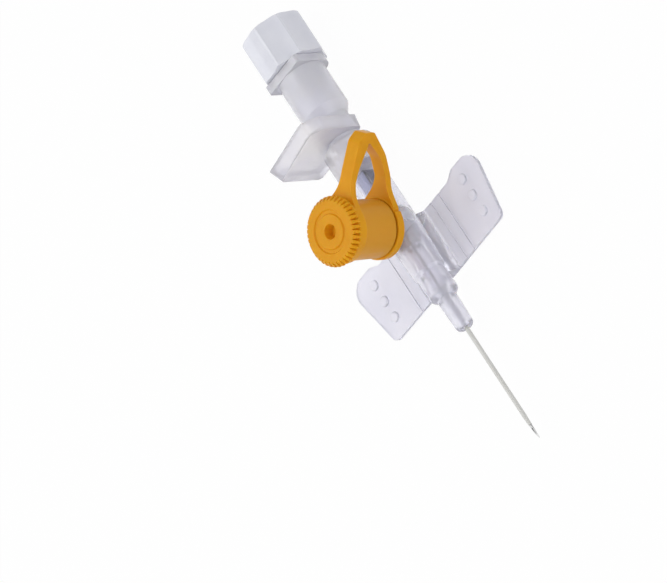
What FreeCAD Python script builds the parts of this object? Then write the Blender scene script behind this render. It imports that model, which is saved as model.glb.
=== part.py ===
import FreeCAD, Part
import math
import os
import Sketcher

# Winged over-the-needle cannula with an injection port, in millimetres.
# The catheter hub lies along X with its tube pointing to +X, the port stands up along +Z
# and the two wings spread along Y. Every piece is drawn about the point where the port's
# axis crosses the needle's axis, and its Placement then moves it so that the part's
# origin lies where the tube leaves the hub's nose.

# Driving sizes. Positions along the needle are counted from the port's axis, forward
# positive and backward as positive distances with "back" in the name. Names that end in
# "rad" are radii, and heights are counted up from the needle's axis.
SIZES = {
    # small clearances
    "run_fit": 0.06,
    "seat_gap": 0.10,
    "press_fit": 0.01,
    # catheter hub, outside
    "hub_back": 13.6,
    "hub_rad": 3.0,
    "hub_taper_from": 1.0,
    "hub_taper_to": 9.0,
    "hub_waist_rad": 2.7,
    "shoulder_from": 9.6,
    "shoulder_rad": 2.4,
    "shoulder_to": 13.4,
    "nose_from": 14.1,
    "nose_rad": 1.6,
    "nose_end": 19.9,
    "nose_end_rad": 1.45,
    "nose_round": 0.7,
    # catheter hub, inside
    "socket_rad": 2.15,
    "socket_slope": 0.03,
    "chamber_back": 2.2,
    "chamber_rad": 2.0,
    "chamber_to": 4.6,
    "throat_rad": 1.15,
    "throat_to": 12.0,
    "wedge_to": 14.5,
    "seat_to": 17.6,
    "recess_from": 19.3,
    "recess_rad": 0.7,
    # port on top of the hub
    "port_rad": 3.1,
    "port_tip_rad": 3.0,
    "port_top": 11.6,
    "port_bore_rad": 2.1,
    "port_bore_from": 1.2,
    "neck_from": 3.95,
    "neck_to": 5.4,
    "neck_rad": 2.85,
    "port_foot_rad": 3.35,
    "port_foot_top": 3.3,
    # wings and sole
    "sole_drop": 3.8,
    "sole_foot": 4.4,
    "sole_root": 3.1,
    "sole_half": 2.0,
    "sole_top": 1.3,
    "sole_round": 1.0,
    "wing_lift": 0.8,
    "wing_thick": 0.6,
    "wing_root": 1.6,
    "wing_back": 0.35,
    "wing_front": 10.6,
    "lobe_back": 1.25,
    "lobe_from": 9.7,
    "lobe_full": 11.4,
    "wing_span_back": 17.0,
    "wing_span_front": 14.8,
    "lobe_round": 1.1,
    "wing_round_back": 2.6,
    "wing_round_front": 1.1,
    "bump_across": 12.4,
    "bump_first": 1.4,
    "bump_pitch": 3.1,
    "bump_count": 3,
    "bump_rad": 0.85,
    "bump_tall": 0.36,
    "bump_round": 0.28,
    "flex_first": 4.9,
    "flex_pitch": 2.1,
    "flex_count": 2,
    "flex_wide": 0.55,
    "flex_deep": 0.15,
    # tube
    "tube_rad": 0.35,
    "tube_bore_rad": 0.27,
    "tube_flare_rad": 0.45,
    "flare_bore_rad": 0.355,
    "flare_from": 14.65,
    "flare_to": 17.2,
    "flare_run": 0.35,
    "tip_from": 37.2,
    "tip_end": 38.9,
    "tip_rad": 0.27,
    "tip_bore_rad": 0.235,
    # metal bush that wedges the tube
    "bush_mouth_from": 12.15,
    "bush_mouth_rad": 1.06,
    "bush_wall": 0.07,
    "bush_rad": 0.345,
    "bush_bore_rad": 0.275,
    "bush_to": 17.0,
    # silicone sleeve valve under the port
    "valve_back": 1.95,
    "valve_to": 4.05,
    "valve_wall": 0.4,
    # needle
    "needle_rad": 0.22,
    "needle_bore_rad": 0.13,
    "needle_tip": 41.4,
    "bevel_from": 38.9,
    "needle_rear_back": 16.2,
    "crimp_at": 35.0,
    "crimp_half": 0.35,
    "crimp_rad": 0.255,
    # stainless spring clip
    "clip_back": 10.3,
    "clip_front_back": 2.45,
    "clip_half": 1.6,
    "clip_wide": 1.8,
    "clip_sheet": 0.15,
    "clip_hole_rad": 0.24,
    "clip_waist_back": 4.6,
    "clip_waist_half": 1.35,
    "clip_lip_half": 0.27,
    "clip_lip_top": 1.15,
    "clip_lip_run": 0.55,
    # cap over the port
    "cap_rad": 4.6,
    "cap_mouth_rad": 4.5,
    "cap_from": 5.5,
    "cap_shoulder": 12.3,
    "cap_neck_rad": 3.6,
    "cap_disc_from": 14.15,
    "cap_top": 15.35,
    "cap_disc_rad": 5.38,
    "cap_rim_wide": 0.45,
    "cap_front_rad": 4.75,
    "cap_front_round": 0.3,
    "cap_roof": 11.9,
    "plug_from": 6.5,
    "plug_taper": 0.6,
    "ring_rad": 3.0,
    "ring_half": 0.4,
    "ring_deep": 0.22,
    "key_rad": 1.2,
    "key_floor_rad": 0.75,
    "key_deep": 1.3,
    "tooth_count": 40,
    "tooth_deep": 0.6,
    "tooth_shallow": 0.3,
    "tooth_half": 0.2,
    "tooth_clear": 0.2,
    "rim_round": 0.15,
    # tether: collar, ring and folded strap in one moulding
    "collar_rad": 4.8,
    "collar_from": 4.05,
    "collar_to": 5.35,
    "collar_lip": 0.35,
    "collar_lip_deep": 0.2,
    "loop_ring_rad": 4.95,
    "strap_turn": 129.4,
    "strap_wide": 2.3,
    "strap_root_half": 3.11,
    "strap_flare_to": 6.5,
    "strap_flare_round": 5.0,
    "strap_start": 3.7,
    "arm_high": 13.5,
    "arm_high_bend": 9.0,
    "arm_high_at_bend": 12.85,
    "arm_high_thick": 1.2,
    "shoulder_at": 13.7,
    "shoulder_high": 12.0,
    "strap_end": 15.0,
    "end_high": 10.8,
    "end_low": 8.9,
    "arm_low": 4.15,
    "arm_low_thick": 1.1,
    "arm_low_bend": 8.0,
    "arm_low_at_bend": 4.35,
    "arm_low_rise": 11.6,
    "arm_low_at_rise": 6.0,
    "window_end": 13.5,
    "window_high": 9.8,
    "strap_edge": 0.5,
    # needle hub
    "flange_back": 31.1,
    "flange_thick": 1.4,
    "flange_half": 4.0,
    "flange_round": 0.5,
    "flange_cut": 2.4,
    "flash_rad": 3.9,
    "flash_front_back": 22.3,
    "stem_back": 20.7,
    "stem_rad": 2.95,
    "skirt_back": 15.75,
    "skirt_front_back": 11.2,
    "skirt_rad": 4.15,
    "skirt_bore_rad": 3.4,
    "skirt_floor_back": 14.4,
    "male_front_back": 10.7,
    "male_root_rad": 2.11,
    "male_tip_rad": 2.0,
    "flash_bore_rad": 3.2,
    "flash_bore_front_back": 22.9,
    "stem_bore_back": 21.4,
    "stem_bore_rad": 2.2,
    "stem_floor_back": 15.2,
    "stem_floor_rad": 1.5,
    # thumb plate of the needle hub
    "plate_back": 18.8,
    "plate_front_back": 16.8,
    "plate_wall": 0.8,
    "plate_right": 4.1,
    "plate_right_low": 1.0,
    "plate_right_high": 7.7,
    "plate_peak_at": 2.6,
    "plate_peak": 10.3,
    "plate_left": 9.0,
    "plate_left_high": 8.2,
    "plate_left_low": 1.9,
    "plate_slant": 1.2,
    "plate_round": 0.8,
    # vent plug and its filter
    "plug_long": 7.7,
    "plug_rad": 5.35,
    "plug_end_round": 0.5,
    "flute_count": 8,
    "flute_rad": 9.0,
    "flute_deep": 0.55,
    "flute_turn": 37.1,
    "spigot_long": 3.7,
    "vent_bore_rad": 2.3,
    "vent_wall": 1.2,
    "vent_hole_rad": 0.8,
    "filter_rad": 2.6,
    "filter_thick": 0.9,
}

doc = FreeCAD.newDocument("cannula")
sheet = doc.addObject("Spreadsheet::Sheet", "Sizes")
for row, (alias, size) in enumerate(SIZES.items(), 1):
    sheet.set("A%d" % row, alias)
    sheet.set("B%d" % row, str(size))
    sheet.setAlias("B%d" % row, alias)
doc.recompute()


def words(text):
    """Splits a size formula such as "hub_rad - run_fit*2" into names, numbers and signs."""
    return text.replace("*", " * ").replace("/", " / ").split()


def formula(text):
    """The same formula as the document understands it, reading the sheet's cells."""
    return " ".join("Sizes." + word if word in SIZES else word for word in words(text))


def measure(text):
    """The formula's value now, used to draw a sketch before its constraints hold it."""
    total, sign, term, divide = 0.0, 1.0, None, False
    for word in words(text):
        if word in "+-":
            total += sign * (term or 0.0)
            sign, term = (1.0 if word == "+" else -1.0), None
        elif word in "*/":
            divide = word == "/"
        else:
            number = float(SIZES[word]) if word in SIZES else float(word)
            if term is None:
                term = number
            else:
                term = term / number if divide else term * number
    return total + sign * term


def new_body(label):
    body = doc.addObject("PartDesign::Body", label)
    body.Label = label
    return body


def origin_of(body, role):
    return [item for item in body.Origin.OriginFeatures if item.Role == role][0]


def blank_sketch(body, name, role, lift=None, tilt=None):
    """A sketch on one of the body's own origin planes, lifted off it or tilted about its X."""
    sketch = body.newObject("Sketcher::SketchObject", name)
    sketch.AttachmentSupport = [(origin_of(body, role), "")]
    sketch.MapMode = "FlatFace"
    if tilt:
        sketch.AttachmentOffset = FreeCAD.Placement(
            FreeCAD.Vector(0, 0, 0), FreeCAD.Rotation(FreeCAD.Vector(1, 0, 0), measure(tilt)))
        sketch.setExpression("AttachmentOffset.Rotation.Angle", formula(tilt))
    if lift:
        sketch.setExpression("AttachmentOffset.Base.z", formula(lift))
    return sketch


def hold(sketch, kind, places, text):
    """Adds a dimension whose value follows a formula of the sheet."""
    index = sketch.addConstraint(Sketcher.Constraint(kind, *places, measure(text)))
    sketch.setExpression("Constraints[%d]" % index, formula(text))


def pin_down(sketch, item, point, across, along):
    """Fixes a point of the sketch by its two distances from the origin."""
    for kind, axis, text in (("DistanceX", -2, across), ("DistanceY", -1, along)):
        if text == "0":
            sketch.addConstraint(Sketcher.Constraint("PointOnObject", item, point, axis))
        else:
            hold(sketch, kind, (-1, 1, item, point), text)


def outline(body, name, role, corners, lift=None, tilt=None):
    """A closed outline of straight sides. A corner is (across, along) or, where it is
    rounded, (across, along, radius), each a formula of the sheet."""
    sketch = blank_sketch(body, name, role, lift, tilt)
    spots = [FreeCAD.Vector(measure(c[0]), measure(c[1]), 0) for c in corners]
    count = len(corners)
    starts, ends = list(spots), list(spots)
    for i, corner in enumerate(corners):
        if len(corner) > 2:
            before = (spots[i - 1] - spots[i]).normalize()
            after = (spots[(i + 1) % count] - spots[i]).normalize()
            reach = measure(corner[2]) / math.tan(before.getAngle(after) / 2)
            ends[i] = spots[i] + before * reach
            starts[i] = spots[i] + after * reach
    sides = []
    for i in range(count):
        sides.append(sketch.addGeometry(Part.LineSegment(starts[i], ends[(i + 1) % count])))
    for i, corner in enumerate(corners):
        before, after = sides[i - 1], sides[i]
        if len(corner) == 2:
            sketch.addConstraint(Sketcher.Constraint("Coincident", before, 2, after, 1))
            pin_down(sketch, after, 1, corner[0], corner[1])
            continue
        radius = measure(corner[2])
        inward = ((ends[i] - spots[i]) + (starts[i] - spots[i])).normalize()
        half = (ends[i] - spots[i]).getAngle(starts[i] - spots[i]) / 2
        centre = spots[i] + inward * (radius / math.sin(half))
        from_angle = math.atan2(ends[i].y - centre.y, ends[i].x - centre.x)
        sweep = math.atan2(starts[i].y - centre.y, starts[i].x - centre.x) - from_angle
        sweep = (sweep + math.pi) % (2 * math.pi) - math.pi
        first = 1 if sweep > 0 else 2
        low = from_angle if sweep > 0 else from_angle + sweep
        circle = Part.Circle(centre, FreeCAD.Vector(0, 0, 1), radius)
        arc = sketch.addGeometry(Part.ArcOfCircle(circle, low, low + abs(sweep)))
        sketch.addConstraint(Sketcher.Constraint("Tangent", before, 2, arc, first))
        sketch.addConstraint(Sketcher.Constraint("Tangent", after, 1, arc, 3 - first))
        hold(sketch, "Radius", (arc,), corner[2])
        corner_point = sketch.addGeometry(Part.Point(spots[i]), True)
        sketch.addConstraint(Sketcher.Constraint("PointOnObject", corner_point, 1, before))
        sketch.addConstraint(Sketcher.Constraint("PointOnObject", corner_point, 1, after))
        pin_down(sketch, corner_point, 1, corner[0], corner[1])
    return sketch


def ring(body, name, role, across, along, radius, lift=None, tilt=None):
    """A circle of the given radius about a point of the plane."""
    sketch = blank_sketch(body, name, role, lift, tilt)
    centre = FreeCAD.Vector(measure(across), measure(along), 0)
    circle = sketch.addGeometry(Part.Circle(centre, FreeCAD.Vector(0, 0, 1), measure(radius)))
    hold(sketch, "Radius", (circle,), radius)
    pin_down(sketch, circle, 3, across, along)
    return sketch


def volume_of(body):
    doc.recompute()
    return body.Shape.Volume


def turn(body, sketch, axis="H_Axis"):
    """Revolves a half section. H_Axis is the needle's axis and V_Axis the port's."""
    feature = body.newObject("PartDesign::Revolution", sketch.Name + "_turned")
    feature.Profile = sketch
    feature.ReferenceAxis = (sketch, [axis])
    feature.Angle = 360
    doc.recompute()
    return feature


def bore(body, sketch, axis="H_Axis"):
    """Cuts a revolved half section out of the body."""
    before = volume_of(body)
    feature = body.newObject("PartDesign::Groove", sketch.Name + "_bored")
    feature.Profile = sketch
    feature.ReferenceAxis = (sketch, [axis])
    feature.Angle = 360
    if not volume_of(body) < before:
        raise RuntimeError(sketch.Name + " cuts nothing")
    return feature


def pad(body, sketch, length, midplane=False, backward=False):
    feature = body.newObject("PartDesign::Pad", sketch.Name + "_pad")
    feature.Profile = sketch
    feature.Length = measure(length)
    feature.setExpression("Length", formula(length))
    feature.Midplane = midplane
    feature.Reversed = backward
    doc.recompute()
    return feature


def pocket(body, sketch, length=None, midplane=False, backward=False):
    """Cuts an outline out of the body, to a length or right through."""
    before = volume_of(body)
    feature = body.newObject("PartDesign::Pocket", sketch.Name + "_cut")
    feature.Profile = sketch
    if length:
        feature.Length = measure(length)
        feature.setExpression("Length", formula(length))
    else:
        feature.Type = "ThroughAll"
    feature.Midplane = midplane
    feature.Reversed = backward
    if not volume_of(body) < before:
        raise RuntimeError(sketch.Name + " cuts nothing")
    return feature


def repeat_along(body, feature, role, pitch, count):
    pattern = body.newObject("PartDesign::LinearPattern", feature.Name + "_row")
    pattern.Originals = [feature]
    pattern.Direction = (origin_of(body, role), [""])
    pattern.Mode = "Spacing"
    pattern.Offset = measure(pitch)
    pattern.setExpression("Offset", formula(pitch))
    pattern.Occurrences = int(measure(count))
    pattern.setExpression("Occurrences", formula(count))
    body.Tip = pattern
    doc.recompute()
    return pattern


def repeat_round(body, feature, role, count):
    pattern = body.newObject("PartDesign::PolarPattern", feature.Name + "_round")
    pattern.Originals = [feature]
    pattern.Axis = (origin_of(body, role), [""])
    pattern.Angle = 360
    pattern.Occurrences = int(measure(count))
    pattern.setExpression("Occurrences", formula(count))
    body.Tip = pattern
    doc.recompute()
    return pattern


def soften(body, name, wanted, radius):
    """Rounds the edges of the body's last feature for which wanted(edge) is true."""
    doc.recompute()
    base = body.Tip
    names = ["Edge%d" % n for n, edge in enumerate(base.Shape.Edges, 1) if wanted(edge)]
    if not names:
        raise RuntimeError(name + " finds no edge")
    feature = body.newObject("PartDesign::Fillet", name)
    feature.Base = (base, names)
    feature.Radius = measure(radius)
    feature.setExpression("Radius", formula(radius))
    body.Tip = feature
    doc.recompute()
    return feature


# Catheter hub: one clear moulding with the port, the sole and both wings.
hub = new_body("catheter_hub")
hub_section = outline(hub, "hub_section", "XZ_Plane", [
    ("- hub_back", "0"),
    ("- hub_back", "hub_rad", "rim_round"),
    ("hub_taper_from", "hub_rad"),
    ("hub_taper_to", "hub_waist_rad"),
    ("shoulder_from", "shoulder_rad"),
    ("shoulder_to", "shoulder_rad", "nose_round*1.1"),
    ("nose_from", "nose_rad"),
    ("nose_end", "nose_end_rad", "nose_round"),
    ("nose_end", "0"),
])
turn(hub, hub_section)

# Sole under the hub, flat below, which spreads in two slopes to the roots of the wings.
sole = outline(hub, "sole", "YZ_Plane", [
    ("- sole_foot", "- sole_drop"),
    ("sole_foot", "- sole_drop"),
    ("sole_foot", "wing_thick - sole_drop"),
    ("sole_root", "wing_thick - sole_drop", "sole_round"),
    ("sole_half", "- sole_top"),
    ("- sole_half", "- sole_top"),
    ("- sole_root", "wing_thick - sole_drop", "sole_round"),
    ("- sole_foot", "wing_thick - sole_drop"),
], lift="- wing_back")
pad(hub, sole, "wing_back + wing_front")

# One wing, tilted up from the sole, with its grip bumps and the thin flexing grooves
# beside the hub. The rear edge steps back to a rounded lobe.
wing = outline(hub, "wing", "XY_Plane", [
    ("- wing_back", "wing_root"),
    ("- wing_back", "lobe_from", "lobe_round"),
    ("- lobe_back", "lobe_full", "lobe_round"),
    ("- lobe_back", "wing_span_back", "wing_round_back"),
    ("wing_front", "wing_span_front", "wing_round_front"),
    ("wing_front", "wing_root"),
], lift="- sole_drop", tilt="wing_lift")
pad(hub, wing, "wing_thick")
bump = ring(hub, "bump", "XY_Plane", "bump_first", "bump_across", "bump_rad",
            lift="- sole_drop", tilt="wing_lift")
bump_pad = pad(hub, bump, "wing_thick + bump_tall")
repeat_along(hub, bump_pad, "X_Axis", "bump_pitch", "bump_count")


def bump_top(edge):
    curve = edge.Curve
    if not isinstance(curve, Part.Circle) or abs(curve.Radius - SIZES["bump_rad"]) > 0.01:
        return False
    tilt = math.radians(SIZES["wing_lift"])
    along_normal = curve.Center.z * math.cos(tilt) - curve.Center.y * math.sin(tilt)
    top = SIZES["wing_thick"] + SIZES["bump_tall"] - SIZES["sole_drop"] * math.cos(tilt)
    return abs(along_normal - top) < 0.05


soften(hub, "bump_rounding", bump_top, "bump_round")
flex = outline(hub, "flex_line", "XY_Plane", [
    ("- wing_back - lobe_back", "flex_first"),
    ("wing_front + lobe_back", "flex_first"),
    ("wing_front + lobe_back", "flex_first + flex_wide"),
    ("- wing_back - lobe_back", "flex_first + flex_wide"),
], lift="wing_thick - sole_drop + flex_deep", tilt="wing_lift")
flex_cut = pocket(hub, flex, "flex_deep*2")
repeat_along(hub, flex_cut, "Y_Axis", "flex_pitch", "flex_count")

# The other wing mirrors this one.
mirror = hub.newObject("PartDesign::Mirrored", "other_wing")
mirror.TransformMode = "Whole shape"
mirror.MirrorPlane = (origin_of(hub, "XZ_Plane"), [""])
hub.Tip = mirror
doc.recompute()

# The port: a short chimney with a foot and a neck for the tether's collar.
port = outline(hub, "port_section", "XZ_Plane", [
    ("0", "0"),
    ("port_foot_rad", "0"),
    ("port_foot_rad", "port_foot_top", "rim_round"),
    ("port_rad", "port_foot_top"),
    ("port_rad", "neck_from"),
    ("neck_rad", "neck_from"),
    ("neck_rad", "neck_to"),
    ("port_rad", "neck_to"),
    ("port_tip_rad", "port_top", "rim_round"),
    ("0", "port_top"),
])
turn(hub, port, "V_Axis")
port_bore = outline(hub, "port_bore", "XZ_Plane", [
    ("0", "port_bore_from"),
    ("port_bore_rad", "port_bore_from"),
    ("port_bore_rad", "port_top + seat_gap"),
    ("0", "port_top + seat_gap"),
])
bore(hub, port_bore, "V_Axis")

# The lumen from the rear socket through the valve chamber to the nose.
lumen = outline(hub, "lumen", "XZ_Plane", [
    ("- hub_back - seat_gap", "0"),
    ("- hub_back - seat_gap", "socket_rad"),
    ("- chamber_back", "socket_rad - hub_back*socket_slope + chamber_back*socket_slope"),
    ("- chamber_back", "chamber_rad"),
    ("chamber_to", "chamber_rad"),
    ("chamber_to", "throat_rad"),
    ("throat_to", "throat_rad"),
    ("wedge_to", "tube_flare_rad + press_fit"),
    ("seat_to", "tube_flare_rad + press_fit"),
    ("recess_from", "tube_rad + press_fit"),
    ("nose_end + seat_gap", "recess_rad"),
    ("nose_end + seat_gap", "0"),
])
bore(hub, lumen)

# Tube: a soft sleeve, flared over the bush inside the nose and tapered at its tip.
tube = new_body("catheter_tube")
turn(tube, outline(tube, "tube_section", "XZ_Plane", [
    ("flare_from", "flare_bore_rad"),
    ("flare_from", "tube_flare_rad"),
    ("seat_to", "tube_flare_rad"),
    ("recess_from", "tube_rad"),
    ("tip_from", "tube_rad"),
    ("tip_end", "tip_rad"),
    ("tip_end", "tip_bore_rad"),
    ("tip_from", "tube_bore_rad"),
    ("flare_to + flare_run", "tube_bore_rad"),
    ("flare_to", "flare_bore_rad"),
]))

# Bush: a thin metal funnel that wedges the tube in the nose.
bush = new_body("catheter_bush")
turn(bush, outline(bush, "bush_section", "XZ_Plane", [
    ("bush_mouth_from", "bush_mouth_rad - bush_wall"),
    ("bush_mouth_from", "bush_mouth_rad"),
    ("wedge_to", "bush_rad + bush_wall"),
    ("wedge_to", "bush_rad"),
    ("bush_to", "bush_rad"),
    ("bush_to", "bush_bore_rad"),
    ("wedge_to", "bush_bore_rad"),
]))

# Sleeve valve: a short elastic tube that closes the port's bore from below.
valve = new_body("port_valve")
turn(valve, outline(valve, "valve_section", "XZ_Plane", [
    ("- valve_back", "chamber_rad - press_fit - valve_wall"),
    ("- valve_back", "chamber_rad - press_fit"),
    ("valve_to", "chamber_rad - press_fit"),
    ("valve_to", "chamber_rad - press_fit - valve_wall"),
]))

# Needle: a hollow steel tube with a crimped ring behind a slanted tip.
needle = new_body("needle")
turn(needle, outline(needle, "needle_section", "XZ_Plane", [
    ("- needle_rear_back", "needle_bore_rad"),
    ("- needle_rear_back", "needle_rad"),
    ("crimp_at - crimp_half*2", "needle_rad"),
    ("crimp_at - crimp_half", "crimp_rad"),
    ("crimp_at + crimp_half", "crimp_rad"),
    ("crimp_at + crimp_half*2", "needle_rad"),
    ("needle_tip", "needle_rad"),
    ("needle_tip", "needle_bore_rad"),
]))
bevel = outline(needle, "bevel", "XZ_Plane", [
    ("bevel_from", "needle_rad"),
    ("needle_tip", "- needle_rad"),
    ("needle_tip + needle_rad", "- needle_rad"),
    ("needle_tip + needle_rad", "needle_rad*2"),
    ("bevel_from", "needle_rad*2"),
])
pocket(needle, bevel, midplane=True)

# Spring clip: one folded steel strip. Its end wall has the hole for the needle, and its
# two arms run forward on either side of the needle to curled lips.
clip = new_body("spring_clip")
upper = [
    ("- clip_back", "clip_half", "clip_sheet*2"),
    ("- clip_waist_back", "clip_waist_half", "clip_sheet*4"),
    ("- clip_front_back", "clip_lip_top", "clip_sheet*2"),
    ("- clip_front_back", "clip_lip_half"),
    ("- clip_front_back - clip_lip_run", "clip_lip_half"),
    ("- clip_front_back - clip_lip_run", "clip_lip_half + clip_sheet"),
    ("- clip_front_back - clip_sheet", "clip_lip_half + clip_sheet"),
    ("- clip_front_back - clip_sheet", "clip_lip_top - clip_sheet", "clip_sheet"),
    ("- clip_waist_back", "clip_waist_half - clip_sheet", "clip_sheet*3"),
    ("clip_sheet - clip_back", "clip_half - clip_sheet", "clip_sheet"),
]


def flipped(text):
    """The formula with its sign turned, for the lower half of a symmetric outline."""
    swapped = [{"+": "-", "-": "+"}.get(word, word) for word in words(text)]
    return " ".join(swapped[1:] if swapped[0] == "+" else
                    (swapped if swapped[0] == "-" else ["-"] + swapped))


lower = [(corner[0], flipped(corner[1])) + corner[2:] for corner in reversed(upper)]
pad(clip, outline(clip, "clip_strip", "XZ_Plane", upper + lower), "clip_wide", midplane=True)
clip_hole = ring(clip, "clip_hole", "YZ_Plane", "0", "0", "clip_hole_rad",
                 lift="clip_sheet*2 - clip_back")
pocket(clip, clip_hole, "clip_sheet*4")

# Port cap: a barrel with an inner plug and a knurled disc on top.
cap = new_body("port_cap")
turn(cap, outline(cap, "cap_section", "XZ_Plane", [
    ("0", "plug_from"),
    ("port_bore_rad - run_fit*4", "plug_from"),
    ("port_bore_rad - run_fit", "plug_from + plug_taper"),
    ("port_bore_rad - run_fit", "cap_roof"),
    ("port_rad + run_fit", "cap_roof"),
    ("port_rad + run_fit", "cap_from"),
    ("cap_mouth_rad", "cap_from", "rim_round"),
    ("cap_rad", "cap_shoulder", "rim_round"),
    ("cap_neck_rad", "cap_shoulder"),
    ("cap_neck_rad", "cap_disc_from"),
    ("cap_disc_rad", "cap_disc_from", "rim_round"),
    ("cap_disc_rad", "cap_disc_from + cap_rim_wide", "rim_round"),
    ("cap_front_rad", "cap_top", "cap_front_round"),
    ("ring_rad + ring_half", "cap_top"),
    ("ring_rad + ring_half*0.6", "cap_top - ring_deep"),
    ("ring_rad - ring_half*0.6", "cap_top - ring_deep"),
    ("ring_rad - ring_half", "cap_top"),
    ("key_rad", "cap_top"),
    ("key_floor_rad", "cap_top - key_deep"),
    ("0", "cap_top - key_deep"),
]), "V_Axis")


def tooth_gap(name, floor, lift):
    """A notch in the disc's rim that narrows inward to a floor at the given radius."""
    return outline(cap, name, "XY_Plane", [
        (floor, "0"),
        ("cap_disc_rad + tooth_clear", "tooth_half + tooth_clear*0.7"),
        ("cap_disc_rad + tooth_clear", "- tooth_half - tooth_clear*0.7"),
    ], lift=lift)


teeth = cap.newObject("PartDesign::SubtractiveLoft", "tooth_cut")
teeth.Profile = tooth_gap("tooth_gap_low", "cap_disc_rad - tooth_deep",
                          "cap_disc_from - seat_gap")
teeth.Sections = [tooth_gap("tooth_gap_high", "cap_front_rad - tooth_shallow",
                             "cap_top + seat_gap")]
teeth.Ruled = True
doc.recompute()
repeat_round(cap, teeth, "Z_Axis", "tooth_count")

# Tether: a collar round the port's neck, a folded strap and a ring round the cap's neck,
# in one soft moulding. It is drawn with the strap along X and turned by its Placement.
tether = new_body("cap_tether")
turn(tether, outline(tether, "collar_section", "XZ_Plane", [
    ("neck_rad + run_fit", "collar_from"),
    ("collar_rad", "collar_from", "rim_round"),
    ("collar_rad", "collar_to", "rim_round"),
    ("collar_rad - collar_lip", "collar_to"),
    ("collar_rad - collar_lip*2", "collar_to - collar_lip_deep"),
    ("neck_rad + run_fit", "collar_to - collar_lip_deep"),
]), "V_Axis")
strap = [
    ("strap_start", "arm_high"),
    ("arm_high_bend", "arm_high_at_bend", "strap_edge*20"),
    ("shoulder_at", "shoulder_high", "strap_edge*3"),
    ("strap_end", "end_high", "strap_edge"),
    ("strap_end", "end_low", "strap_edge"),
    ("arm_low_rise", "arm_low_at_rise", "strap_edge*12"),
    ("arm_low_bend", "arm_low_at_bend", "strap_edge*8"),
    ("strap_start", "arm_low"),
    ("strap_start", "arm_low + arm_low_thick"),
    ("arm_low_bend", "arm_low_at_bend + arm_low_thick", "strap_edge*5"),
    ("arm_low_rise - arm_low_thick*0.6", "arm_low_at_rise + arm_low_thick*0.8", "strap_edge*8"),
    ("window_end", "window_high", "strap_edge*0.5"),
    ("arm_high_bend", "arm_high_at_bend - arm_high_thick", "strap_edge*16"),
    ("cap_rad + seat_gap*2", "cap_shoulder + seat_gap"),
    ("strap_start", "cap_shoulder + seat_gap"),
]
pad(tether, outline(tether, "strap", "XZ_Plane", strap),
    "collar_rad*2", midplane=True)
for side, sign in (("left", ""), ("right", "- ")):
    beside = outline(tether, "strap_" + side, "XY_Plane", [
        ("strap_start", sign + "strap_root_half"),
        ("strap_flare_to", sign + "strap_wide/2", "strap_flare_round"),
        ("strap_end + strap_wide", sign + "strap_wide/2"),
        ("strap_end + strap_wide", sign + "collar_rad*1.2"),
        ("strap_start - strap_edge", sign + "collar_rad*1.2"),
        ("strap_start - strap_edge", sign + "strap_root_half"),
    ])
    pocket(tether, beside, backward=True)
turn(tether, outline(tether, "loop_ring_section", "XZ_Plane", [
    ("cap_neck_rad + run_fit", "cap_shoulder + seat_gap"),
    ("loop_ring_rad", "cap_shoulder + seat_gap", "rim_round"),
    ("loop_ring_rad", "cap_disc_from - seat_gap", "rim_round"),
    ("cap_neck_rad + run_fit", "cap_disc_from - seat_gap"),
]), "V_Axis")

# Needle hub: thumb plate, flash chamber, skirt and male nose in one clear moulding.
grip = new_body("needle_hub")
# Corners of the thumb plate's rim, seen from behind. Each has its way inward for the
# wall's thickness, and then for the slant from the rim to the smaller front face.
PLATE_CORNERS = [
    ("plate_right", "- plate_right_low", (-1.0, 1.0), (-0.3, 0.0)),
    ("plate_right", "plate_right_high", (-1.0, -0.45), (-0.5, -0.4)),
    ("plate_peak_at", "plate_peak", (-0.35, -1.0), (-0.5, -1.0)),
    ("- plate_left", "plate_left_high", (1.0, -1.0), (0.1, -1.0)),
    ("- plate_left", "- plate_left_low", (1.0, 1.0), (0.1, 0.0)),
]


def moved(text, inset, share):
    """The formula moved by a share of a named inset, to either side."""
    if not share:
        return text
    return "%s %s %s*%s" % (text, "-" if share < 0 else "+", inset, abs(share))


def plate_outline(name, lift, walled, slanted):
    """The plate's outline at a distance along the needle, inside its wall or not, and on
    its front face or on its rim."""
    corners = []
    for across, along, wall, slant in PLATE_CORNERS:
        if walled:
            across = moved(across, "plate_wall", wall[0])
            along = moved(along, "plate_wall", wall[1])
        if slanted:
            across = moved(across, "plate_slant", slant[0])
            along = moved(along, "plate_slant", slant[1])
        corners.append((across, along, "plate_round"))
    return outline(grip, name, "YZ_Plane", corners, lift=lift)


def loft_between(kind, name, first, second):
    feature = grip.newObject(kind, name)
    feature.Profile = first
    feature.Sections = [second]
    feature.Ruled = True
    doc.recompute()
    return feature


loft_between("PartDesign::AdditiveLoft", "plate_shape",
             plate_outline("plate_rim", "- plate_back", False, False),
             plate_outline("plate_face", "- plate_front_back", False, True))
loft_between("PartDesign::SubtractiveLoft", "plate_dish",
             plate_outline("dish_rim", "- plate_back", True, False),
             plate_outline("dish_floor", "- plate_front_back - plate_wall", True, True))
turn(grip, outline(grip, "grip_section", "XZ_Plane", [
    ("- flange_back", "0"),
    ("- flange_back", "flash_rad"),
    ("- flash_front_back", "flash_rad", "rim_round*3"),
    ("- stem_back", "stem_rad", "rim_round*2"),
    ("- skirt_back", "stem_rad"),
    ("- skirt_back", "skirt_rad", "rim_round"),
    ("- skirt_front_back", "skirt_rad", "rim_round"),
    ("- skirt_front_back", "skirt_bore_rad"),
    ("- skirt_floor_back", "skirt_bore_rad"),
    ("- skirt_floor_back", "male_root_rad"),
    ("- male_front_back", "male_tip_rad", "rim_round*2"),
    ("- male_front_back", "0"),
]))
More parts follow.
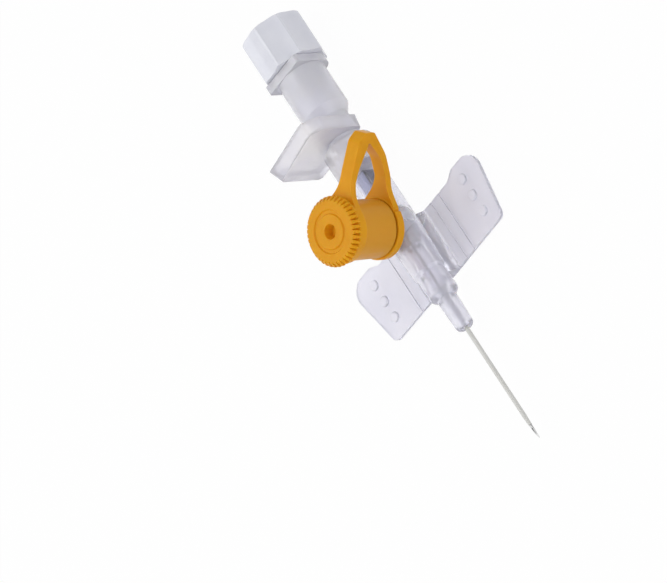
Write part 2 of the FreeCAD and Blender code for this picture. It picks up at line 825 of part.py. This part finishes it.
# The flange is square, and its corner under the port's far side is cut back.
pad(grip, outline(grip, "flange", "YZ_Plane", [
    ("flange_half", "flange_half", "flange_round"),
    ("- flange_half", "flange_half", "flange_round"),
    ("- flange_half", "- flange_half", "flange_round"),
    ("flange_half", "- flange_half", "flange_cut"),
], lift="- flange_back"), "flange_thick")
bore(grip, outline(grip, "flash_bore", "XZ_Plane", [
    ("- flange_back - seat_gap", "0"),
    ("- flange_back - seat_gap", "flash_bore_rad"),
    ("- flash_bore_front_back", "flash_bore_rad", "rim_round*3"),
    ("- stem_bore_back", "stem_bore_rad", "rim_round*3"),
    ("- stem_floor_back", "stem_floor_rad", "rim_round*3"),
    ("- stem_floor_back", "0"),
]))
bore(grip, outline(grip, "needle_seat", "XZ_Plane", [
    ("- stem_floor_back - seat_gap", "0"),
    ("- stem_floor_back - seat_gap", "needle_rad + press_fit"),
    ("seat_gap - male_front_back", "needle_rad + press_fit"),
    ("seat_gap - male_front_back", "0"),
]))

# Vent plug: a fluted grip with eight hollow sides, a spigot that closes the flash chamber
# and a bore behind the filter that lets the air out.
plug = new_body("vent_plug")
turn(plug, outline(plug, "plug_section", "XZ_Plane", [
    ("- flange_back - plug_long", "0"),
    ("- flange_back - plug_long", "plug_rad", "plug_end_round"),
    ("- flange_back - seat_gap", "plug_rad", "rim_round"),
    ("- flange_back - seat_gap", "flash_bore_rad - run_fit"),
    ("spigot_long - flange_back", "flash_bore_rad - run_fit", "rim_round"),
    ("spigot_long - flange_back", "0"),
]))
flute = blank_sketch(plug, "flute", "YZ_Plane", lift="- flange_back - plug_long - seat_gap")
far = measure("plug_rad + flute_rad - flute_deep")
swing = math.radians(SIZES["flute_turn"])
flute_centre = FreeCAD.Vector(far * math.sin(swing), far * math.cos(swing), 0)
spoke = flute.addGeometry(Part.LineSegment(FreeCAD.Vector(0, 0, 0), flute_centre), True)
flute_circle = flute.addGeometry(
    Part.Circle(flute_centre, FreeCAD.Vector(0, 0, 1), measure("flute_rad")))
flute.addConstraint(Sketcher.Constraint("Coincident", spoke, 1, -1, 1))
flute.addConstraint(Sketcher.Constraint("Coincident", spoke, 2, flute_circle, 3))
hold(flute, "Radius", (flute_circle,), "flute_rad")
hold(flute, "Distance", (spoke,), "plug_rad + flute_rad - flute_deep")
lean = flute.addConstraint(Sketcher.Constraint("Angle", spoke, 1, -2, 1, swing))
flute.setExpression("Constraints[%d]" % lean, "Sizes.flute_turn * 1 deg")
flute_cut = pocket(plug, flute, "plug_long + seat_gap", backward=True)
repeat_round(plug, flute_cut, "X_Axis", "flute_count")
bore(plug, outline(plug, "vent_bore", "XZ_Plane", [
    ("- flange_back - plug_long - seat_gap", "0"),
    ("- flange_back - plug_long - seat_gap", "vent_hole_rad"),
    ("vent_wall - flange_back - plug_long", "vent_hole_rad"),
    ("vent_wall - flange_back - plug_long", "vent_bore_rad"),
    ("spigot_long - flange_back - filter_thick - seat_gap", "vent_bore_rad"),
    ("spigot_long - flange_back - filter_thick - seat_gap", "filter_rad + press_fit"),
    ("spigot_long - flange_back + seat_gap", "filter_rad + press_fit"),
    ("spigot_long - flange_back + seat_gap", "0"),
]))

# Filter: a porous disc at the front of the spigot.
vent = new_body("vent_filter")
pad(vent, ring(vent, "filter_disc", "YZ_Plane", "0", "0", "filter_rad",
               lift="spigot_long - flange_back - filter_thick - press_fit"), "filter_thick")

# Every piece moves by the same amount so that the nose's end is the part's origin.
pieces = [hub, tube, bush, valve, needle, clip, cap, tether, grip, plug, vent]
for piece in pieces:
    piece.Placement = FreeCAD.Placement(FreeCAD.Vector(-SIZES["nose_end"], 0, 0), FreeCAD.Rotation())
    piece.setExpression("Placement.Base.x", "-Sizes.nose_end")
tether.Placement = FreeCAD.Placement(
    FreeCAD.Vector(-SIZES["nose_end"], 0, 0),
    FreeCAD.Rotation(FreeCAD.Vector(0, 0, 1), SIZES["strap_turn"]))
tether.setExpression("Placement.Rotation.Angle", "Sizes.strap_turn")
doc.recompute()

# Nothing is written unless every object is sound.
for item in doc.Objects:
    if "Invalid" in item.State or "Error" in item.State:
        raise RuntimeError("%s is %s" % (item.Name, item.State))
for piece in pieces:
    shape = piece.Shape
    if shape.isNull() or not shape.isValid() or len(shape.Solids) != 1:
        raise RuntimeError("%s is not one sound solid" % piece.Label)
os.makedirs("parts", exist_ok=True)
for piece in pieces:
    piece.Shape.exportStep("parts/%s.step" % piece.Label)
    print(piece.Label, round(piece.Shape.Volume, 3))
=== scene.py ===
import math
import bmesh
import bpy
from mathutils import Matrix, Vector


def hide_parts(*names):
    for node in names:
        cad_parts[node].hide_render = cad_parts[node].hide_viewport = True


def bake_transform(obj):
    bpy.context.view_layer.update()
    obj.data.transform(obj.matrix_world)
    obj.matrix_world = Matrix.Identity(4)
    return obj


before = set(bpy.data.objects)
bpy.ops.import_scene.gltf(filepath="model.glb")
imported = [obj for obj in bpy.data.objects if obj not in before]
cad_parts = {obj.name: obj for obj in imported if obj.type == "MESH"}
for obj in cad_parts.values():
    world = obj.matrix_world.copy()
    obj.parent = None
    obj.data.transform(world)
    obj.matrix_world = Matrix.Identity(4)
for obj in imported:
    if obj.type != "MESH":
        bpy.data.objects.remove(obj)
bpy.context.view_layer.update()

scene = bpy.context.scene
scene.view_settings.view_transform = "Standard"
MM = 0.001

# Where the port's axis crosses the needle's axis, in the part's frame.
PORT = Vector((-19.9 * MM, 0, 0))


# Camera: a long lens at the photograph's angle. RIGHT, UP and BACK are the picture's
# directions in the part's frame, and BACK points from the part to the camera.
RIGHT = Vector((0.497, 0.530, -0.684)).normalized()
BACK = Vector((0.414, 0.551, 0.728))
BACK = (BACK - RIGHT * BACK.dot(RIGHT)).normalized()
UP = BACK.cross(RIGHT)
PIXELS_PER_M = 6650.0
PICTURE = (667, 583)
PORT_PIXEL = (400.0, 226.6)
DISTANCE = 2.0
SENSOR_MM = 36.0
NEAREST = 0.01

camera_data = bpy.data.cameras.new("camera")
camera_data.sensor_width = SENSOR_MM
camera_data.lens = SENSOR_MM * DISTANCE * PIXELS_PER_M / PICTURE[0]
camera_data.clip_start = NEAREST
camera = bpy.data.objects.new("camera", camera_data)
scene.collection.objects.link(camera)
picture_middle = (PORT
                  + RIGHT * ((PICTURE[0] / 2 - PORT_PIXEL[0]) / PIXELS_PER_M)
                  - UP * ((PICTURE[1] / 2 - PORT_PIXEL[1]) / PIXELS_PER_M))
camera_place = picture_middle + BACK * DISTANCE
camera_turn = Matrix((RIGHT, UP, BACK)).transposed().to_4x4()
camera.matrix_world = Matrix.Translation(camera_place) @ camera_turn
scene.camera = camera


# Node helpers for the materials, the floor and the world.
def new_material(name):
    material = bpy.data.materials.new(name)
    material.use_nodes = True
    tree = material.node_tree
    shader = next(n for n in tree.nodes if n.type == "BSDF_PRINCIPLED")
    return material, tree, shader


def add(tree, kind, **values):
    """A new node. Each value is one of its properties, or else one of its inputs."""
    node = tree.nodes.new(kind)
    for key, value in values.items():
        if hasattr(node, key):
            setattr(node, key, value)
        else:
            node.inputs[key.replace("_", " ")].default_value = value
    return node


def calculate(tree, operation, *values):
    """A math node. Each value is a number or another node's output."""
    node = add(tree, "ShaderNodeMath", operation=operation)
    for socket, value in zip(node.inputs, values):
        if isinstance(value, float):
            socket.default_value = value
        else:
            tree.links.new(value, socket)
    return node.outputs[0]


def coordinates(tree, scale=(1, 1, 1)):
    """Object coordinates, in metres, stretched by a scale for each axis."""
    source = add(tree, "ShaderNodeTexCoord")
    mapping = add(tree, "ShaderNodeMapping", Scale=scale)
    tree.links.new(source.outputs["Object"], mapping.inputs["Vector"])
    return mapping.outputs["Vector"]


def noise(tree, vector, size, detail=4.0, roughness=0.55):
    """Noise whose features are about the given size in metres."""
    node = add(tree, "ShaderNodeTexNoise", Scale=1.0 / size, Detail=detail, Roughness=roughness)
    tree.links.new(vector, node.inputs["Vector"])
    return node.outputs["Fac"]


def spread(tree, value, low, high):
    """Maps a 0 to 1 value to the range low to high."""
    node = add(tree, "ShaderNodeMapRange", To_Min=low, To_Max=high)
    tree.links.new(value, node.inputs["Value"])
    return node.outputs["Result"]


def blend_colours(tree, value, first, second, from_low=0.35, from_high=0.65):
    """Goes from the first colour to the second between two levels of the value."""
    node = add(tree, "ShaderNodeValToRGB")
    node.color_ramp.elements[0].position = from_low
    node.color_ramp.elements[1].position = from_high
    node.color_ramp.elements[0].color = (*first, 1)
    node.color_ramp.elements[1].color = (*second, 1)
    tree.links.new(value, node.inputs["Fac"])
    return node.outputs["Color"]


def roughen(tree, shader, height, strength, distance):
    """Bumps the surface by the height, over at most the given distance in metres."""
    bump = add(tree, "ShaderNodeBump", Strength=strength, Distance=distance)
    tree.links.new(height, bump.inputs["Height"])
    tree.links.new(bump.outputs["Normal"], shader.inputs["Normal"])


def axis_ramp(tree, axis, start, end, both_ways=False):
    """Goes from 0 to 1 along one axis of the part, between two places in metres."""
    source = add(tree, "ShaderNodeTexCoord")
    parts = add(tree, "ShaderNodeSeparateXYZ")
    tree.links.new(source.outputs["Object"], parts.inputs["Vector"])
    value = parts.outputs[axis]
    if both_ways:
        value = calculate(tree, "ABSOLUTE", value)
    ramp = add(tree, "ShaderNodeMapRange", From_Min=start, From_Max=end)
    tree.links.new(value, ramp.inputs["Value"])
    return ramp.outputs["Result"]


def seen_directly(tree):
    """1 for what the camera, a reflection or a clear piece shows, and 0 for the light that
    falls on the part."""
    paths = add(tree, "ShaderNodeLightPath")
    mirrored = calculate(tree, "MAXIMUM",
                         paths.outputs["Is Camera Ray"], paths.outputs["Is Glossy Ray"])
    return calculate(tree, "MAXIMUM", mirrored, paths.outputs["Is Transmission Ray"])


# Clear plastic. The catheter hub is clearer behind the port than in front of it, and its
# wings are milkier and more matt than its body. Places are in metres, in the part's frame.
WING_ROOT = (0.0024, 0.0036)
HUB_FRONT = (-0.022, -0.017)
REAR_CLEARNESS = 0.93
WING_CLEARNESS = 0.8
WING_MATTNESS = 0.27
CLEAR_IOR = 1.46
CLEAR_GLOSS = 0.55
FLOW_STRETCH = (0.6, 1, 1)
FLOW_SIZE = 0.004
FLOW_DEPTH = 0.0004
GLOSS_SIZE = 0.0007


def clear_plastic(name, first, second, see_through, rough, ripple, milky_wings=False):
    """Clear moulded plastic: slight tint, faint flow ripples and uneven gloss. rough is
    the lowest and the highest roughness."""
    material, tree, shader = new_material(name)
    where = coordinates(tree, FLOW_STRETCH)
    flow = noise(tree, where, FLOW_SIZE, detail=3.0)
    grain = noise(tree, where, GLOSS_SIZE, detail=5.0)
    tree.links.new(blend_colours(tree, flow, first, second), shader.inputs["Base Color"])
    roughness = spread(tree, grain, *rough)
    if milky_wings:
        wing = axis_ramp(tree, "Y", *WING_ROOT, both_ways=True)
        front = axis_ramp(tree, "X", *HUB_FRONT)
        clearness = calculate(tree, "MULTIPLY",
                              spread(tree, front, REAR_CLEARNESS, see_through),
                              spread(tree, wing, 1.0, WING_CLEARNESS))
        tree.links.new(clearness, shader.inputs["Transmission Weight"])
        roughness = calculate(tree, "MULTIPLY_ADD", wing, WING_MATTNESS, roughness)
    else:
        shader.inputs["Transmission Weight"].default_value = see_through
    tree.links.new(roughness, shader.inputs["Roughness"])
    shader.inputs["IOR"].default_value = CLEAR_IOR
    shader.inputs["Specular IOR Level"].default_value = CLEAR_GLOSS
    roughen(tree, shader, flow, ripple, FLOW_DEPTH)
    return material


# Opaque plastic. The cap's colour changes over BARREL_TOP, in metres above the needle's
# axis: below it, a darker and duller amber is painted shade. The four last names are the
# sockets of a mix node for colours.
BARREL_TOP = (0.0122, 0.0138)
MOTTLE_SIZE = 0.0035
SCATTER_DEPTH = 0.0012
COAT_ROUGHNESS = 0.08
GRAIN_DEPTH = 0.00006
MIX_SHARE = 0
MIX_FIRST = 6
MIX_SECOND = 7
MIX_RESULT = 2


def moulded(name, first, second, rough, grain_size, grain_strength,
            scatter=0.0, scatter_colour=None, coat=0.0, painted_barrel_shade=None, gloss=0.5):
    """Opaque moulded plastic or rubber with mottled colour and a fine grained skin. rough
    is the lowest and the highest roughness. The colour given for the cap below its disc,
    where the wall is thin, is painted shade: darker and duller than the amber above it."""
    material, tree, shader = new_material(name)
    where = coordinates(tree)
    mottle = noise(tree, where, MOTTLE_SIZE)
    grain = noise(tree, where, grain_size, detail=6.0, roughness=0.65)
    colour = blend_colours(tree, mottle, first, second, from_low=0.3, from_high=0.7)
    # Painted shade: below BARREL_TOP the cap is given a darker, duller amber.
    if painted_barrel_shade:
        mixer = add(tree, "ShaderNodeMix", data_type="RGBA")
        mixer.inputs[MIX_FIRST].default_value = (*painted_barrel_shade, 1)
        tree.links.new(colour, mixer.inputs[MIX_SECOND])
        tree.links.new(axis_ramp(tree, "Z", *BARREL_TOP), mixer.inputs[MIX_SHARE])
        colour = mixer.outputs[MIX_RESULT]
    tree.links.new(colour, shader.inputs["Base Color"])
    tree.links.new(spread(tree, grain, *rough), shader.inputs["Roughness"])
    shader.inputs["Specular IOR Level"].default_value = gloss
    shader.inputs["Subsurface Weight"].default_value = scatter
    shader.inputs["Subsurface Scale"].default_value = SCATTER_DEPTH
    if scatter_colour:
        shader.inputs["Subsurface Radius"].default_value = scatter_colour
    shader.inputs["Coat Weight"].default_value = coat
    shader.inputs["Coat Roughness"].default_value = COAT_ROUGHNESS
    roughen(tree, shader, grain, grain_strength, GRAIN_DEPTH)
    return material


# Steel. LINE_SIZE is that of the fine lines, and CLOUD_SIZE that of the uneven colour.
LINE_SIZE = 0.00008
LINE_STRENGTH = 0.25
LINE_DEPTH = 0.00001
CLOUD_SIZE = 0.0012
CLOUD_STRETCH = (0.5, 1, 1)
CLOUD_SHADE = 0.82


def drawn_steel(name, colour, rough, stretch):
    """Steel with fine lines along the way it was drawn or rolled. rough is the lowest and
    the highest roughness."""
    material, tree, shader = new_material(name)
    lines = noise(tree, coordinates(tree, stretch), LINE_SIZE, detail=5.0, roughness=0.7)
    clouds = noise(tree, coordinates(tree, CLOUD_STRETCH), CLOUD_SIZE, detail=3.0)
    darker = tuple(part * CLOUD_SHADE for part in colour)
    tree.links.new(blend_colours(tree, clouds, darker, colour), shader.inputs["Base Color"])
    tree.links.new(spread(tree, lines, *rough), shader.inputs["Roughness"])
    shader.inputs["Metallic"].default_value = 1.0
    roughen(tree, shader, lines, LINE_STRENGTH, LINE_DEPTH)
    return material


hub_plastic = clear_plastic("clear_hub", (0.87, 0.87, 0.96), (0.93, 0.925, 1.0),
                            see_through=0.68, rough=(0.06, 0.16), ripple=0.3,
                            milky_wings=True)
grip_plastic = clear_plastic("clear_grip", (0.93, 0.925, 1.0), (0.97, 0.965, 1.0),
                             see_through=0.56, rough=(0.08, 0.18), ripple=0.35)
tube_plastic = moulded("tube_plastic", (0.64, 0.64, 0.615), (0.72, 0.72, 0.695),
                       rough=(0.3, 0.45), grain_size=0.0002, grain_strength=0.12)
AMBER = {
    "first": (0.74, 0.325, 0.007),
    "second": (0.80, 0.37, 0.012),
    "rough": (0.28, 0.42),
    "grain_size": 0.00018,
    "grain_strength": 0.22,
    "scatter": 0.35,
    "scatter_colour": (1.0, 0.4, 0.1),
    "gloss": 0.12,
}
amber = moulded("amber_plastic", **AMBER)
# The cap's amber, with painted shade on the cap below its disc.
cap_amber_with_painted_shade = moulded("cap_plastic_with_painted_shade", painted_barrel_shade=(0.71, 0.325, 0.028), **AMBER)
silicone = moulded("silicone", (0.78, 0.77, 0.74), (0.84, 0.83, 0.80),
                   rough=(0.5, 0.65), grain_size=0.0002, grain_strength=0.2, scatter=0.3)
white_plastic = moulded("white_plastic", (0.74, 0.75, 0.83), (0.79, 0.80, 0.87),
                        rough=(0.16, 0.27), grain_size=0.0003, grain_strength=0.1,
                        scatter=0.1, scatter_colour=(1.0, 1.0, 1.0), coat=0.5)
porous = moulded("porous_plastic", (0.74, 0.73, 0.70), (0.88, 0.87, 0.85),
                 rough=(0.7, 0.9), grain_size=0.00012, grain_strength=0.8)
needle_steel = drawn_steel("needle_steel", (0.40, 0.40, 0.40),
                           rough=(0.28, 0.42), stretch=(0.02, 1, 1))
clip_steel = drawn_steel("clip_steel", (0.17, 0.18, 0.25),
                         rough=(0.12, 0.26), stretch=(0.05, 1, 1))

FINISH = {
    "catheter_hub": hub_plastic,
    "needle_hub": grip_plastic,
    "catheter_tube": tube_plastic,
    "catheter_bush": needle_steel,
    "port_valve": silicone,
    "port_cap": cap_amber_with_painted_shade,
    "cap_tether": amber,
    "spring_clip": clip_steel,
    "needle": needle_steel,
    "vent_plug": white_plastic,
    "vent_filter": porous,
}
for name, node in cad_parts.items():
    if not node.material_slots:
        node.data.materials.append(FINISH[name])
    for slot in node.material_slots:
        slot.link = "OBJECT"
        slot.material = FINISH[name]

# The tether, which stretches between the port's neck and the cap's neck, drawn as a copy of
# its node that is cut at these heights, in millimetres.
BEND_HEIGHTS = (5.9, 6.7, 7.5, 8.3, 9.1, 9.9, 10.7, 11.5)
WELD_DISTANCE = 0.000001
SOFT_EDGE = math.radians(32)

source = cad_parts["cap_tether"]
soft = bpy.data.objects.new("soft_tether", source.data.copy())
scene.collection.objects.link(soft)
soft.data.materials.clear()
soft.data.materials.append(amber)
shape = bmesh.new()
shape.from_mesh(soft.data)
bmesh.ops.remove_doubles(shape, verts=shape.verts, dist=WELD_DISTANCE)
for height in BEND_HEIGHTS:
    bmesh.ops.bisect_plane(shape, geom=shape.verts[:] + shape.edges[:] + shape.faces[:],
                           plane_co=(0, 0, height * MM), plane_no=(0, 0, 1))
for face in shape.faces:
    face.smooth = True
for edge in shape.edges:
    if len(edge.link_faces) == 2:
        edge.smooth = edge.calc_face_angle(0) < SOFT_EDGE
shape.to_mesh(soft.data)
shape.free()
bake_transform(soft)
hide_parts("cap_tether")

# Floor: it lies FLOOR_GAP below the sole's front edge and the vent plug, and is white to
# the camera but for a faint shadow. The nodes' own points give the two places.
SOLE_BAND = 0.01 * MM
FLOOR_GAP = 0.02 * MM
FLOOR_SIZE = 3.0
FLOOR_COLOUR = (0.85, 0.85, 0.86, 1)
FLOOR_ROUGHNESS = 0.9
FLOOR_GLOW = 0.97
WHITE = (1, 1, 1, 1)


def steepness(point):
    """How steeply the floor would rise from a rear point to the sole's front edge."""
    return (front.z - point.z) / (front.x - point.x)


hub_points = [vertex.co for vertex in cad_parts["catheter_hub"].data.vertices]
plug_points = [vertex.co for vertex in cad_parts["vent_plug"].data.vertices]
lowest = min(point.z for point in hub_points)
front = max((point for point in hub_points if point.z < lowest + SOLE_BAND),
            key=lambda point: point.x)
rear = max(plug_points, key=steepness)
slope = math.atan(steepness(rear))
floor_middle = Vector(((front.x + rear.x) / 2, 0, (front.z + rear.z) / 2 - FLOOR_GAP))
bpy.ops.mesh.primitive_plane_add(size=FLOOR_SIZE, location=floor_middle,
                                 rotation=(0, -slope, 0))
floor = bpy.context.object
floor.name = "floor"

floor_white, tree, shader = new_material("floor_white")
shader.inputs["Base Color"].default_value = FLOOR_COLOUR
shader.inputs["Roughness"].default_value = FLOOR_ROUGHNESS
glow = add(tree, "ShaderNodeEmission", Color=WHITE, Strength=1.0)
mix = add(tree, "ShaderNodeMixShader")
output = next(n for n in tree.nodes if n.type == "OUTPUT_MATERIAL")
glow_share = calculate(tree, "MULTIPLY", seen_directly(tree), FLOOR_GLOW)
tree.links.new(glow_share, mix.inputs["Fac"])
tree.links.new(shader.outputs[0], mix.inputs[1])
tree.links.new(glow.outputs[0], mix.inputs[2])
tree.links.new(mix.outputs[0], output.inputs["Surface"])
floor.data.materials.append(floor_white)

# World: even light at half strength, and white where the camera, a reflection or a clear
# piece shows it.
WORLD_LIGHT = 0.5
WORLD_WHITE = 1.0

world = bpy.data.worlds.new("world")
scene.world = world
world.use_nodes = True
sky = world.node_tree
background = next(n for n in sky.nodes if n.type == "BACKGROUND")
strength = spread(sky, seen_directly(sky), WORLD_LIGHT, WORLD_WHITE)
sky.links.new(strength, background.inputs["Strength"])
background.inputs["Color"].default_value = WHITE

# Two square lamps, in metres and watts.
LAMP_TARGET = Vector((-20, 0, 2)) * MM
LAMP_DISTANCE = 0.5
KEY_FROM = BACK * 0.4 - RIGHT * 0.95 - UP * 0.2
KEY_SIZE = 0.6
KEY_POWER = 1.35
FILL_FROM = BACK * 0.8 + RIGHT * 0.6
FILL_SIZE = 0.5
FILL_POWER = 0.8


def soft_light(name, towards, size, power):
    """A square lamp that faces the part from the given direction."""
    data = bpy.data.lights.new(name, "AREA")
    data.size = size
    data.energy = power
    lamp = bpy.data.objects.new(name, data)
    scene.collection.objects.link(lamp)
    aim = Vector(towards).normalized()
    lamp.location = LAMP_TARGET + aim * LAMP_DISTANCE
    lamp.rotation_euler = aim.to_track_quat("Z", "Y").to_euler()


soft_light("key", KEY_FROM, KEY_SIZE, KEY_POWER)
soft_light("fill", FILL_FROM, FILL_SIZE, FILL_POWER)
